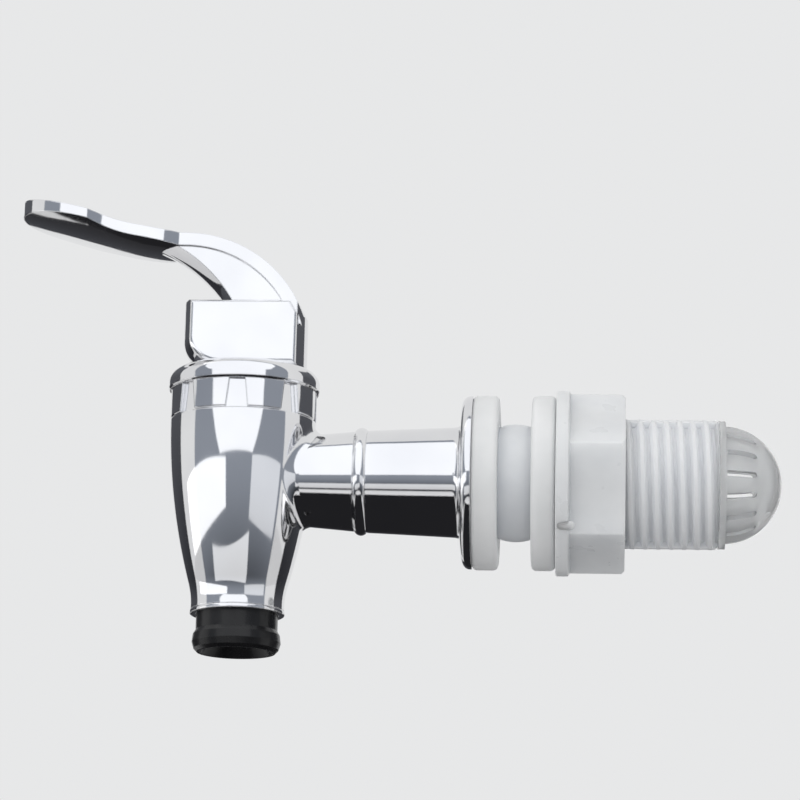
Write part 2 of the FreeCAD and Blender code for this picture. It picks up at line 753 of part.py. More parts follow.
# Stem: guided rod with the spring disc, the knob that holds the cup and the flat eye for the pin
def build_stem():
    body = new_body("stem", x=AXIS_X)
    knob_low = plus(CUP_NOSE_Z, "1")
    knob_top = plus(knob_low, S["knob_high"])
    disc_low = minus(DISC_HIGH, S["disc_thick"])
    turned(body, "foot", [
        ("0", knob_low),
        (minus(S["knob_rad"], "0.6"), knob_low),
        (S["knob_rad"], plus(knob_low, "0.6")),
        (S["knob_rad"], minus(knob_top, "0.35")),
        (S["foot_rad"], minus(knob_top, "0.05")),
        (S["foot_rad"], disc_low),
        (DISC_RAD, disc_low),
        (DISC_RAD, DISC_HIGH),
        ("0", DISC_HIGH),
    ])
    rod = new_sketch(body, "rod_section", "XY_Plane")
    double_flat(rod, S["stem_rad"], S["stem_flat"])
    rod.setExpression("AttachmentOffset.Base.z", minus(DISC_HIGH, "0.2"))
    padded(body, "rod", rod, minus(PIVOT_HIGH, DISC_HIGH, "-0.2"))
    eye = new_sketch(body, "eye_outline", "XZ_Plane")
    eye_low = plus(HUB_TOP, "0.4")
    trace(eye, [
        (negative(S["stem_rad"]), eye_low),
        (S["stem_rad"], eye_low),
        (S["stem_rad"], PIVOT_HIGH, S["stem_rad"], "left"),
        ("0", plus(PIVOT_HIGH, S["stem_rad"]), S["stem_rad"], "left"),
        (negative(S["stem_rad"]), PIVOT_HIGH),
    ])
    padded(body, "eye", eye, "2 * " + S["stem_flat"], symmetric=True)
    hole = new_sketch(body, "pin_hole_outline", "XZ_Plane")
    value = number(S["pin_rad"])
    centre = FreeCAD.Vector(0, number(PIVOT_HIGH), 0)
    edge = hole.addGeometry(Part.Circle(centre, FreeCAD.Vector(0, 0, 1), value))
    hole.addConstraint(Sketcher.Constraint("PointOnObject", edge, 3, -2))
    rule = hole.addConstraint(Sketcher.Constraint("DistanceY", -1, 1, edge, 3, number(PIVOT_HIGH)))
    hole.setExpression("Constraints[%d]" % rule, PIVOT_HIGH)
    rule = hole.addConstraint(Sketcher.Constraint("Radius", edge, value))
    hole.setExpression("Constraints[%d]" % rule, S["pin_rad"])
    pocketed(body, "pin_hole", hole, "4 * " + S["stem_flat"], symmetric=True)
    return body


# Return spring: round wire coiled between the guide and the stem's disc
def build_return_spring():
    body = new_body("return_spring", x=AXIS_X)
    wire = new_sketch(body, "wire_section", "XZ_Plane")
    value = number(S["wire_rad"])
    low = plus(DISC_HIGH, S["wire_rad"], S["face_gap"])
    edge = wire.addGeometry(Part.Circle(
        FreeCAD.Vector(number(COIL_RAD), number(low), 0), FreeCAD.Vector(0, 0, 1), value))
    for kind, expression in (("DistanceX", COIL_RAD), ("DistanceY", low)):
        rule = wire.addConstraint(Sketcher.Constraint(kind, -1, 1, edge, 3, number(expression)))
        wire.setExpression("Constraints[%d]" % rule, expression)
    rule = wire.addConstraint(Sketcher.Constraint("Radius", edge, value))
    wire.setExpression("Constraints[%d]" % rule, S["wire_rad"])
    coil = body.newObject("PartDesign::AdditiveHelix", "coil")
    coil.Profile = wire
    coil.ReferenceAxis = (wire, ["V_Axis"])
    coil.Mode = "height-turns-angle"
    coil.setExpression("Height", minus(S["spring_room"], "2 * (%s)" % plus(S["wire_rad"], S["face_gap"])))
    coil.setExpression("Turns", S["coil_turns"])
    coil.Angle = 0
    doc.recompute()
    return body


# Pivot pin: pressed through the stem's eye, turning in the lever's two cheeks
def build_pivot_pin():
    pin = doc.addObject("Part::Cylinder", "pivot_pin")
    pin.Label = "pivot_pin"
    pin.setExpression("Radius", S["pin_rad"])
    pin.setExpression("Height", minus("2 * " + S["head_half_wide"], S["pin_cover"], "0.25"))
    pin.Placement = FreeCAD.Placement(FreeCAD.Vector(0, 0, 0), FreeCAD.Rotation(FreeCAD.Vector(1, 0, 0), -90))
    pin.setExpression("Placement.Base.x", AXIS_X)
    pin.setExpression("Placement.Base.y", minus(S["pin_cover"], "-0.1", S["head_half_wide"]))
    pin.setExpression("Placement.Base.z", PIVOT_HIGH)
    return pin


# Lever, in a frame of its own with its origin on the pivot
def lever_heights():
    """Heights over the pivot that the lever's outlines share."""
    base = negative(S["pin_rise"])
    return {
        "base": base,
        "top": plus(base, S["head_high"]),
        "bend": plus(base, S["bend_high"]),
        "crest": plus(base, S["neck_rise"]),
    }


def neck_arc(depth):
    """Radius and lower end of the neck's arc, taken at a depth below its outer side."""
    high = lever_heights()
    run = "(%s)" % plus(S["head_rad"], S["neck_set"])
    fall = "(%s)" % minus(high["crest"], high["bend"])
    outer = "((%s * %s + %s * %s) / (2 * %s))" % (run, run, fall, fall, fall)
    share = "((%s - (%s)) / %s)" % (outer, depth, outer)
    centre_z = "((%s) - %s)" % (high["crest"], outer)
    end_x = minus("%s * %s" % (run, share), S["neck_set"])
    end_z = plus(centre_z, "((%s) - %s) * %s" % (high["bend"], centre_z, share))
    return "(%s - (%s))" % (outer, depth), end_x, end_z


def arm_side(thick):
    """Side outline of the paddle and neck band at one thickness."""
    high = lever_heights()
    tilt = "(%s * 1deg)" % S["paddle_tilt"]
    outer_rad, outer_x, outer_z = neck_arc("0")
    inner_rad, inner_x, inner_z = neck_arc(thick)
    arc_x = negative(plus(S["neck_set"], "%s * sin(%s)" % (S["paddle_bend"], tilt)))
    arc_z = plus(high["crest"], "%s * (1 - cos(%s))" % (S["paddle_bend"], tilt))
    low_x = minus(arc_x, "%s * sin(%s)" % (thick, tilt))
    low_z = minus(arc_z, "%s * cos(%s)" % (thick, tilt))
    past = "2"
    run = "(%s)" % plus(S["paddle_reach"], arc_x, past)
    tip_x = minus(negative(S["paddle_reach"]), past)
    tip_z = plus(arc_z, "%s * tan(%s)" % (run, tilt))
    tip_low_z = minus(tip_z, "%s / cos(%s)" % (thick, tilt))
    return [
        (tip_x, tip_low_z),
        (low_x, low_z, plus(S["paddle_bend"], thick), "left"),
        (negative(S["neck_set"]), minus(high["crest"], thick), inner_rad, "right"),
        (inner_x, inner_z),
        (outer_x, outer_z, outer_rad, "left"),
        (negative(S["neck_set"]), high["crest"], S["paddle_bend"], "right"),
        (arc_x, arc_z),
        (tip_x, tip_z),
    ]


def build_lever_arm():
    """Paddle and neck band: lofted across with a belly underneath, then trimmed to its plan."""
    body = new_body("lever_arm")
    edge_side = arm_side(S["band_thick"])
    middle_side = arm_side("(%s)" % plus(S["band_thick"], S["band_belly"]))
    reach = "(%s)" % plus(PADDLE_HALF_WIDE, "0.5")
    lofted(body, "side_band", [(negative(reach), edge_side), ("0", middle_side), (reach, edge_side)])
    plan = new_sketch(body, "plan_outline", "XY_Plane")
    wide = PADDLE_HALF_WIDE
    narrow = S["neck_half_wide"]
    far = PADDLE_WIDE_SET
    near = S["paddle_neck_set"]
    mid_x = negative("(%s + %s) / 2" % (far, near))
    mid_y = "(%s + %s) / 2" % (wide, narrow)
    sway = "(((%s - %s) * (%s - %s) + (%s - %s) * (%s - %s)) / (4 * (%s - %s)))" % (
        far, near, far, near, wide, narrow, wide, narrow, wide, narrow)
    tip_back = S["tip_back"]
    flank = "((%s * %s + %s * %s - %s * %s) / (2 * %s))" % (
        tip_back, tip_back, wide, wide, S["tip_rad"], S["tip_rad"], S["paddle_swell"])
    share = "(%s / (%s - %s))" % (S["tip_rad"], flank, S["tip_rad"])
    join_x = minus(negative(S["paddle_reach"]), negative(S["tip_rad"]), "%s * %s" % (tip_back, share))
    join_y = "(%s - %s) * %s" % (flank, wide, share)
    rear = "sqrt(%s * %s - %s * %s)" % (S["head_rad"], S["head_rad"], narrow, narrow)
    trace(plan, [
        (rear, negative(narrow), S["head_rad"], "left"),
        (rear, narrow),
        (negative(near), narrow, sway, "left"),
        (mid_x, mid_y, sway, "right"),
        (negative(far), wide, flank, "left"),
        (join_x, join_y, S["tip_rad"], "left"),
        (negative(S["paddle_reach"]), "0", S["tip_rad"], "left"),
        (join_x, negative(join_y), flank, "left"),
        (negative(far), negative(wide), sway, "right"),
        (mid_x, negative(mid_y), sway, "left"),
        (negative(near), negative(narrow)),
    ])
    edge = "(3 * %s)" % wide
    back = plus(S["head_rad"], "2")
    front = minus(negative(S["paddle_reach"]), "6")
    trace(plan, [(front, negative(edge)), (back, negative(edge)), (back, edge), (front, edge)])
    pocketed(body, "plan_trim", plan, "4 * " + S["neck_rise"], symmetric=True)
    return body


def build_lever_web():
    """Deep rib under the neck band that carries it down into the head."""
    body = new_body("lever_web")
    high = lever_heights()
    half = S["band_thick"] + " / 2"
    mid_rad, mid_x, mid_z = neck_arc(half)
    front_z = minus(high["crest"], half)
    inside = minus(high["top"], "1")

    def side(foot, front):
        return [
            (foot, inside),
            (minus(S["head_rad"], S["band_thick"]), inside),
            (minus(S["head_rad"], S["band_thick"]), mid_z),
            (mid_x, mid_z, mid_rad, "left"),
            (negative(S["neck_set"]), front_z),
            (front, front_z, S["web_bend"], "right"),
            (foot, high["top"]),
        ]

    face = side(negative(S["web_foot_set"]), negative(S["web_front_set"]))
    nose = side(negative(plus(S["web_foot_set"], S["nose_foot_set"])),
                negative(plus(S["web_front_set"], S["nose_front_set"])))
    reach = S["web_half_wide"]
    lofted(body, "web", [(negative(reach), face), ("0", nose), (reach, face)])
    return body


def build_lever_head():
    """Round block cut to two flat cheeks, rolled under at the front where it tips on the guide."""
    body = new_body("lever_head")
    high = lever_heights()
    half = S["head_half_wide"]
    chord = "sqrt(%s * %s - %s * %s)" % (S["head_rad"], S["head_rad"], half, half)
    plan = new_sketch(body, "head_plan", "XY_Plane")
    trace(plan, [
        (chord, negative(half), S["head_rad"], "left"),
        (chord, half),
        (negative(chord), half, S["head_rad"], "left"),
        (negative(chord), negative(half)),
    ])
    plan.setExpression("AttachmentOffset.Base.z", high["base"])
    padded(body, "head_block", plan, S["head_high"])
    cam_x = negative(minus(S["head_rad"], S["cam_rad"]))
    cam_z = plus(high["base"], S["cam_rad"])
    out_x = minus(negative(S["head_rad"]), "1")
    out_z = minus(high["base"], "1")
    rolled = turned(body, "cam_round", [
        (cam_x, high["base"], S["cam_rad"], "right"),
        (negative(S["head_rad"]), cam_z),
        (out_x, cam_z),
        (out_x, out_z),
        (cam_x, out_z),
    ], kind="Groove", angle=180, midplane=True)
    half_wide = number(half)

    def is_cheek_edge(edge):
        ends = [abs(abs(vertex.Point.y) - half_wide) < 1e-4 for vertex in edge.Vertexes]
        middle = edge.valueAt((edge.FirstParameter + edge.LastParameter) / 2)
        return all(ends) and abs(abs(middle.y) - half_wide) < 1e-4

    rounded(body, "cheek_edges", rolled, S["head_edge"], is_cheek_edge)
    back_x = minus(S["head_rad"], S["head_back_cut"])
    past_x = plus(S["head_rad"], "1")
    turned(body, "back_slope", [
        (back_x, high["top"]),
        (S["head_rad"], minus(high["top"], S["head_back_drop"])),
        (past_x, minus(high["top"], S["head_back_drop"])),
        (past_x, plus(high["top"], "1")),
        (back_x, plus(high["top"], "1")),
    ], kind="Groove", angle=180, midplane=True)
    return body


def build_lever():
    """Joins the lever's forms, then cuts the stem slot and the pin's sockets."""
    forms = [build_lever_head(), build_lever_web(), build_lever_arm()]
    whole = doc.addObject("Part::MultiFuse", "lever_forms")
    whole.Shapes = forms
    slot = doc.addObject("Part::Box", "stem_slot")
    high = lever_heights()
    rear = plus(S["stem_rad"], "0.3")
    front = plus("%s * tan(%s * 1deg)" % (S["pin_rise"], S["swing_deg"]),
                 "%s / cos(%s * 1deg)" % (S["stem_rad"], S["swing_deg"]), "0.3")
    slot_half = plus(S["stem_flat"], S["loose_fit"])
    slot.setExpression("Length", plus(rear, front))
    slot.setExpression("Width", "2 * (%s)" % slot_half)
    slot.setExpression("Height", plus(S["pin_rise"], S["stem_rad"], "1.3"))
    slot.setExpression("Placement.Base.x", negative(front))
    slot.setExpression("Placement.Base.y", negative(slot_half))
    slot.setExpression("Placement.Base.z", minus(high["base"], "1"))
    socket = doc.addObject("Part::Cylinder", "pin_socket")
    socket.setExpression("Radius", plus(S["pin_rad"], S["run_fit"]))
    socket.setExpression("Height", "2 * " + S["head_half_wide"])
    across = FreeCAD.Rotation(FreeCAD.Vector(1, 0, 0), -90)
    socket.Placement = FreeCAD.Placement(FreeCAD.Vector(0, 0, 0), across)
    socket.setExpression("Placement.Base.y", minus(S["pin_cover"], S["head_half_wide"]))
    tools = doc.addObject("Part::MultiFuse", "lever_cuts")
    tools.Shapes = [slot, socket]
    lever = doc.addObject("Part::Cut", "lever")
    lever.Label = "lever"
    lever.Base = whole
    lever.Tool = tools
    lever.setExpression("Placement.Base.x", AXIS_X)
    lever.setExpression("Placement.Base.z", PIVOT_HIGH)
    doc.recompute()
    return lever


# Spout tip: soft black sleeve pushed into the nozzle, with a rolled lip
def build_spout_tip():
    body = new_body("spout_tip", x=AXIS_X)
    top = minus(SOCKET_Z, S["face_gap"])
    end = minus(RIM_Z, S["tip_hang"])
    neck_low = plus(end, S["tip_lip_high"])
    lip_mid = "((%s) + (%s)) / 2" % (neck_low, end)
    lip_rad = plus(SLEEVE_RAD, S["tip_lip_rise"])
    bore_rad = minus(SLEEVE_RAD, S["tip_wall"])
    turned(body, "sleeve", [
        (bore_rad, top),
        (minus(SLEEVE_RAD, "0.3"), top),
        (SLEEVE_RAD, minus(top, "0.3")),
        (SLEEVE_RAD, plus(neck_low, "0.4")),
        (minus(lip_rad, "0.15"), minus(neck_low, "0.3")),
        (lip_rad, lip_mid),
        (minus(lip_rad, "0.3"), plus(end, "0.5")),
        (minus(lip_rad, "0.8"), end),
        (plus(bore_rad, S["tip_mouth_step"]), end),
        (bore_rad, plus(end, "2.2")),
    ])
    return body


SUB_PARTS = [
    build_tap_body(),
    build_flange_cover(),
    build_shank(),
    build_shank_o_ring(),
    build_washer("front_washer", FACE_X, S["front_washer_thick"]),
    build_washer("rear_washer", S["tank_wall_room"], S["rear_washer_thick"]),
    build_lock_nut(),
    build_strainer(),
    build_collar_nut(),
    build_stem_guide(),
    build_seat_cup(),
    build_stem(),
    build_return_spring(),
    build_pivot_pin(),
    build_lever(),
    build_spout_tip(),
]
doc.recompute()

for item in doc.Objects:
    if "Invalid" in item.State or "Error" in item.State:
        raise ValueError(item.Label + " failed: " + ", ".join(item.State))

os.makedirs("parts", exist_ok=True)
for part in SUB_PARTS:
    if part.Shape.isNull() or not part.Shape.isValid():
        raise ValueError(part.Label + " has no valid shape")
    part.Shape.exportStep("parts/" + part.Label + ".step")
    box = part.Shape.BoundBox
    print("%-14s %d solid, %8.1f mm3, X %.2f..%.2f Y %.2f..%.2f Z %.2f..%.2f" % (
        part.Label, len(part.Shape.Solids), part.Shape.Volume,
        box.XMin, box.XMax, box.YMin, box.YMax, box.ZMin, box.ZMax))
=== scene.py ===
"""Looks of the push-lever spigot: materials, barrel side, turned nut, valve parts, camera and studio."""

import math

import bpy
from mathutils import Matrix, Vector


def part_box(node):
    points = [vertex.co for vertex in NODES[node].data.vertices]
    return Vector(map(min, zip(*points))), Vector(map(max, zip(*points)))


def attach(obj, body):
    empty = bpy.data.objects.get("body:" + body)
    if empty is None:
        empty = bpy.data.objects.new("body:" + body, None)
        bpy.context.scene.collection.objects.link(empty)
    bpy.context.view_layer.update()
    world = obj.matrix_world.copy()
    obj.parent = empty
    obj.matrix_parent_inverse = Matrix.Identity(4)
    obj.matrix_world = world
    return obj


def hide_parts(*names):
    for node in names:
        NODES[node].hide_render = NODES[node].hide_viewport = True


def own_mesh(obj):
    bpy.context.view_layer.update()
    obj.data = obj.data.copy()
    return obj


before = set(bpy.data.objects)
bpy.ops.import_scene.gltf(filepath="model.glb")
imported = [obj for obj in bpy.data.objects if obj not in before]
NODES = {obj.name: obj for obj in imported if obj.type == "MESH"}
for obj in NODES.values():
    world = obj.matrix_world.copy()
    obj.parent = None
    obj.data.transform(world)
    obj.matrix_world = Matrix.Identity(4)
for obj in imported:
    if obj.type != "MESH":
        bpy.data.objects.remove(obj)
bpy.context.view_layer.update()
MM = 0.001

# Places shared with the solids, in millimetres
AXIS_X = -40.0
COVER_BACK_X = -4.0


# Materials
MOULD_EDGE = 0.00012
PLATED_EDGE = 0.0003


def new_material(name):
    material = bpy.data.materials.new(name)
    material.use_nodes = True
    tree = material.node_tree
    return material, tree, tree.nodes["Principled BSDF"]


def object_noise(tree, scale, detail):
    """Noise in the object's own coordinates; scale is in features per metre."""
    place = tree.nodes.new("ShaderNodeTexCoord")
    noise = tree.nodes.new("ShaderNodeTexNoise")
    noise.inputs["Scale"].default_value = scale
    noise.inputs["Detail"].default_value = detail
    tree.links.new(place.outputs["Object"], noise.inputs["Vector"])
    return noise.outputs["Fac"]


def ramp(tree, source, low, high, start=0.35, end=0.65):
    """Colour that runs from low to high between two values of the source."""
    node = tree.nodes.new("ShaderNodeValToRGB")
    node.color_ramp.elements[0].position = start
    node.color_ramp.elements[1].position = end
    node.color_ramp.elements[0].color = (*low, 1)
    node.color_ramp.elements[1].color = (*high, 1)
    tree.links.new(source, node.inputs["Fac"])
    return node.outputs["Color"]


def spread(tree, source, low, high):
    """Maps the middle of a noise's values to a range of numbers."""
    node = tree.nodes.new("ShaderNodeMapRange")
    node.inputs["From Min"].default_value = 0.3
    node.inputs["From Max"].default_value = 0.7
    node.inputs["To Min"].default_value = low
    node.inputs["To Max"].default_value = high
    tree.links.new(source, node.inputs["Value"])
    return node.outputs["Result"]


def add_bump(tree, shader, height, strength, distance, edge):
    """Fine relief over normals that roll softly round each edge, as moulded edges do."""
    soft = tree.nodes.new("ShaderNodeBevel")
    soft.samples = 4
    soft.inputs["Radius"].default_value = edge
    bump = tree.nodes.new("ShaderNodeBump")
    bump.inputs["Strength"].default_value = strength
    bump.inputs["Distance"].default_value = distance
    tree.links.new(soft.outputs["Normal"], bump.inputs["Normal"])
    tree.links.new(height, bump.inputs["Height"])
    tree.links.new(bump.outputs["Normal"], shader.inputs["Normal"])


def make_chrome():
    """Bright plating: almost a mirror, with faint waves of the moulding and light smudges."""
    material, tree, shader = new_material("chrome_plating")
    shader.inputs["Metallic"].default_value = 1.0
    tint = object_noise(tree, scale=90, detail=2)
    colour = ramp(tree, tint, (0.80, 0.80, 0.815), (0.86, 0.86, 0.865))
    tree.links.new(colour, shader.inputs["Base Color"])
    smudge = object_noise(tree, scale=160, detail=5)
    tree.links.new(spread(tree, smudge, 0.025, 0.075), shader.inputs["Roughness"])
    wave = object_noise(tree, scale=70, detail=1)
    add_bump(tree, shader, wave, strength=0.12, distance=0.0006, edge=PLATED_EDGE)
    return material


def make_plastic(name, low, high, rough, subsurface=0.0, transmission=0.0, ior=1.5,
                 grain=900, coat=0.0, specular=0.5, metallic=0.0):
    """Moulded or drawn stuff with a little mottling, uneven gloss and a fine skin."""
    material, tree, shader = new_material(name)
    shader.inputs["IOR"].default_value = ior
    shader.inputs["Metallic"].default_value = metallic
    shader.inputs["Specular IOR Level"].default_value = specular
    shader.inputs["Subsurface Weight"].default_value = subsurface
    shader.inputs["Subsurface Radius"].default_value = (1.0, 1.0, 1.0)
    shader.inputs["Subsurface Scale"].default_value = 0.004
    shader.inputs["Transmission Weight"].default_value = transmission
    shader.inputs["Coat Weight"].default_value = coat
    shader.inputs["Coat Roughness"].default_value = 0.08
    cloud = object_noise(tree, scale=120, detail=3)
    tree.links.new(ramp(tree, cloud, low, high), shader.inputs["Base Color"])
    patch = object_noise(tree, scale=260, detail=4)
    tree.links.new(spread(tree, patch, rough[0], rough[1]), shader.inputs["Roughness"])
    skin = object_noise(tree, scale=grain, detail=2)
    add_bump(tree, shader, skin, strength=0.25, distance=0.00002, edge=MOULD_EDGE)
    return material


CHROME = make_chrome()
SILICONE = make_plastic("milky_silicone", (0.80, 0.815, 0.82), (0.86, 0.87, 0.875),
                        rough=(0.34, 0.44), subsurface=0.7)
NUT_PLASTIC = make_plastic("milky_nut_plastic", (0.76, 0.78, 0.80), (0.82, 0.84, 0.855),
                           rough=(0.26, 0.36), subsurface=0.9)
FROSTED = make_plastic("frosted_shank_plastic", (0.80, 0.82, 0.85), (0.86, 0.88, 0.905),
                       rough=(0.28, 0.40), subsurface=1.0)
CLEAR = make_plastic("clear_dome_plastic", (0.93, 0.945, 0.955), (0.97, 0.98, 0.985),
                     rough=(0.08, 0.16), transmission=0.62, subsurface=0.6, ior=1.45)
RUBBER = make_plastic("gloss_black_rubber", (0.008, 0.008, 0.009), (0.013, 0.013, 0.014),
                      rough=(0.24, 0.34), coat=0.12, specular=0.3)
ACETAL = make_plastic("white_acetal", (0.78, 0.78, 0.76), (0.84, 0.84, 0.82),
                      rough=(0.35, 0.45), subsurface=0.2)
STEEL = make_plastic("drawn_steel", (0.50, 0.50, 0.51), (0.60, 0.60, 0.61),
                     rough=(0.22, 0.34), grain=2500, metallic=1.0)

NODE_LOOKS = {
    "tap_body": CHROME,
    "flange_cover": CHROME,
    "collar_nut": CHROME,
    "lever": CHROME,
    "stem_guide": ACETAL,
    "stem": ACETAL,
    "pivot_pin": STEEL,
    "return_spring": STEEL,
    "seat_cup": SILICONE,
    "spout_tip": RUBBER,
    "shank": FROSTED,
    "shank_o_ring": RUBBER,
    "front_washer": SILICONE,
    "rear_washer": SILICONE,
    "lock_nut": NUT_PLASTIC,
    "strainer": CLEAR,
}
for node_name, look in NODE_LOOKS.items():
    node = NODES[node_name]
    for slot in node.material_slots:
        slot.material = look
    if not node.material_slots:
        node.data.materials.append(look)


# Mesh helpers
SHARP_DEG = 35


def turns_round(steps):
    """Angles of a full turn in equal steps."""
    return [2 * math.pi * step / steps for step in range(steps)]


def barrel_corner(radius, turn, z):
    """Corner at a radius and a turn round the barrel's axis."""
    return AXIS_X + radius * math.cos(turn), radius * math.sin(turn), z


def finished(name, corners, faces, look, body):
    """Closed smooth piece with sharp edges kept, riding on a body."""
    mesh = bpy.data.meshes.new(name)
    mesh.from_pydata([tuple(value * MM for value in corner) for corner in corners], [], faces)
    mesh.polygons.foreach_set("use_smooth", [True] * len(mesh.polygons))
    mesh.set_sharp_from_angle(angle=math.radians(SHARP_DEG))
    mesh.materials.append(look)
    mesh.validate()
    piece = bpy.data.objects.new(name, mesh)
    bpy.context.scene.collection.objects.link(piece)
    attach(piece, body)
    return piece


def capped_faces(steps, rings):
    """Faces over one pole, rings of corners that run anticlockwise about the way along, and a last pole."""
    last = 1 + steps * rings
    faces = []
    for step in range(steps):
        after = (step + 1) % steps
        faces.append((0, 1 + after, 1 + step))
        faces.append((last, last - steps + step, last - steps + after))
        for ring in range(rings - 1):
            here = 1 + ring * steps
            there = here + steps
            faces.append((here + step, here + after, there + after, there + step))
    return faces


# Barrel: the full, bellied side of the chrome body, over the solid's slimmer one
SHOULDER_Z = 9.18
SHOULDER_RAD = 11.36
FOOT_Z = -18.2
FOOT_RAD = 7.2
BARREL_LOW_Z = -20.5
BELLY = 1.03
NOZZLE_RAD = 7.25
NOZZLE_BLEND = 0.5
SOLID_FOOT_RAD = 7.1
SOLID_HOLLOW = 0.87
SKIN_DEEP = 0.25
ARM_ROOT_RAD = 6.22
ARM_TAPER = 1.7 / 19.65
ARM_BLEND = 1.25
ARM_HOLE_RAD = 5.6
BARREL_COLUMNS = 240
BARREL_ROWS = 112
SEARCH_PAST = 0.1
HALVINGS = 24


def bowed(share, foot_rad, bow):
    """Radius between foot and shoulder, bowed outwards by bow at half height."""
    return foot_rad + (SHOULDER_RAD - foot_rad) * share + 4 * bow * share * (1 - share)


def barrel_rad(z):
    """Bellied side, running out softly into the straight nozzle."""
    share = (z - FOOT_Z) / (SHOULDER_Z - FOOT_Z)
    side = bowed(share, FOOT_RAD, BELLY)
    overlap = max(0.0, 1 - abs(side - NOZZLE_RAD) / NOZZLE_BLEND)
    return max(side, NOZZLE_RAD) + NOZZLE_BLEND / 4 * overlap * overlap


def hidden_rad(z):
    """Inside of the skin, a little below the solid's own side."""
    share = max(0.0, (z - FOOT_Z) / (SHOULDER_Z - FOOT_Z))
    return bowed(share, SOLID_FOOT_RAD, -SOLID_HOLLOW) - SKIN_DEEP


def outside(reach, turn, z):
    """Distance outside the barrel and arm together, with a round blend between them."""
    from_barrel = reach - barrel_rad(z)
    from_arm = math.hypot(reach * math.sin(turn), z) - ARM_ROOT_RAD - ARM_TAPER * reach * math.cos(turn)
    near_barrel = max(0.0, ARM_BLEND - from_barrel)
    near_arm = max(0.0, ARM_BLEND - from_arm)
    return max(ARM_BLEND, min(from_barrel, from_arm)) - math.hypot(near_barrel, near_arm)


def skin_rad(turn, z):
    """Radius of the blended side in one direction, found by halving."""
    low = barrel_rad(z)
    if math.cos(turn) <= 0 or outside(low, turn, z) >= 0:
        return low
    high = low + ARM_BLEND + SEARCH_PAST
    if outside(high, turn, z) < 0:
        return high
    for _ in range(HALVINGS):
        middle = (low + high) / 2
        if outside(middle, turn, z) < 0:
            low = middle
        else:
            high = middle
    return low


def build_barrel():
    """Skin with an outer and an inner side, open only where the arm enters."""
    turns = turns_round(BARREL_COLUMNS)
    tall = SHOULDER_Z - BARREL_LOW_Z
    heights = [BARREL_LOW_Z + tall * row / BARREL_ROWS for row in range(BARREL_ROWS + 1)]
    corners = [barrel_corner(skin_rad(turn, z), turn, z) for z in heights for turn in turns]
    inner = len(corners)
    corners += [barrel_corner(hidden_rad(z), turn, z) for z in heights for turn in turns]

    def index(row, column):
        return row * BARREL_COLUMNS + column % BARREL_COLUMNS

    def kept(row, column):
        if not 0 <= row < BARREL_ROWS:
            return False
        turn = 2 * math.pi * (column + 0.5) / BARREL_COLUMNS
        z = (heights[row] + heights[row + 1]) / 2
        aside = barrel_rad(z) * math.sin(turn)
        return math.cos(turn) <= 0 or math.hypot(aside, z) >= ARM_HOLE_RAD

    faces = []
    for row in range(BARREL_ROWS):
        for column in range(BARREL_COLUMNS):
            if not kept(row, column):
                continue
            low = (index(row, column), index(row, column + 1))
            high = (index(row + 1, column + 1), index(row + 1, column))
            square = low + high
            faces.append(square)
            faces.append(tuple(inner + place for place in reversed(square)))
            sides = (
                (square[0], square[1], kept(row - 1, column)),
                (square[1], square[2], kept(row, column + 1)),
                (square[2], square[3], kept(row + 1, column)),
                (square[3], square[0], kept(row, column - 1)),
            )
            for first, second, joined in sides:
                if not joined:
                    faces.append((second, first, inner + first, inner + second))
    used = sorted({place for face in faces for place in face})
    order = {place: count for count, place in enumerate(used)}
    finished("barrel_side", [corners[place] for place in used],
             [tuple(order[place] for place in face) for face in faces], CHROME, "tap")


# Lock nut as it stands in the photograph, a flat side to the front
NUT_FLAT = 12.04
NUT_EDGE_RAD = 0.3
NUT_LIP_RAD = 14.3
NUT_LIP_THICK = 1.9
NUT_LIP_EDGE = 0.2
NUT_LIP_SLOPE = 0.3
NUT_CORNER_RAD = 13.4
NUT_END_STEP = 0.02
NUT_BORE_RAD = 10.05
NUT_TURN_DEG = 45.0
NUT_CORNER_STEPS = 3
NUT_SIDE_STEPS = 30
HALF_SIDE = math.pi / 6


def hexagon_rad(turn):
    """Radius of a hexagon with rounded corners, in a direction measured from a corner."""
    aside = abs((turn + HALF_SIDE) % (2 * HALF_SIDE) - HALF_SIDE)
    from_flat = HALF_SIDE - aside
    centre = (NUT_FLAT - NUT_EDGE_RAD) / math.cos(HALF_SIDE)
    if math.tan(from_flat) * NUT_FLAT < (NUT_FLAT - NUT_EDGE_RAD) * math.tan(HALF_SIDE):
        return NUT_FLAT / math.cos(from_flat)
    offset = centre * math.sin(aside)
    return centre * math.cos(aside) + math.sqrt(NUT_EDGE_RAD * NUT_EDGE_RAD - offset * offset)


def hexagon_turns():
    """Angles round the nut, close together at its rounded corners."""
    edge = math.atan(NUT_EDGE_RAD * math.tan(HALF_SIDE) / NUT_FLAT)
    flat = 2 * HALF_SIDE - 2 * edge
    turns = []
    for side in range(6):
        corner = side * 2 * HALF_SIDE
        for step in range(-NUT_CORNER_STEPS, NUT_CORNER_STEPS):
            turns.append(corner + edge * step / NUT_CORNER_STEPS)
        for step in range(NUT_SIDE_STEPS):
            turns.append(corner + edge + flat * step / NUT_SIDE_STEPS)
    return turns


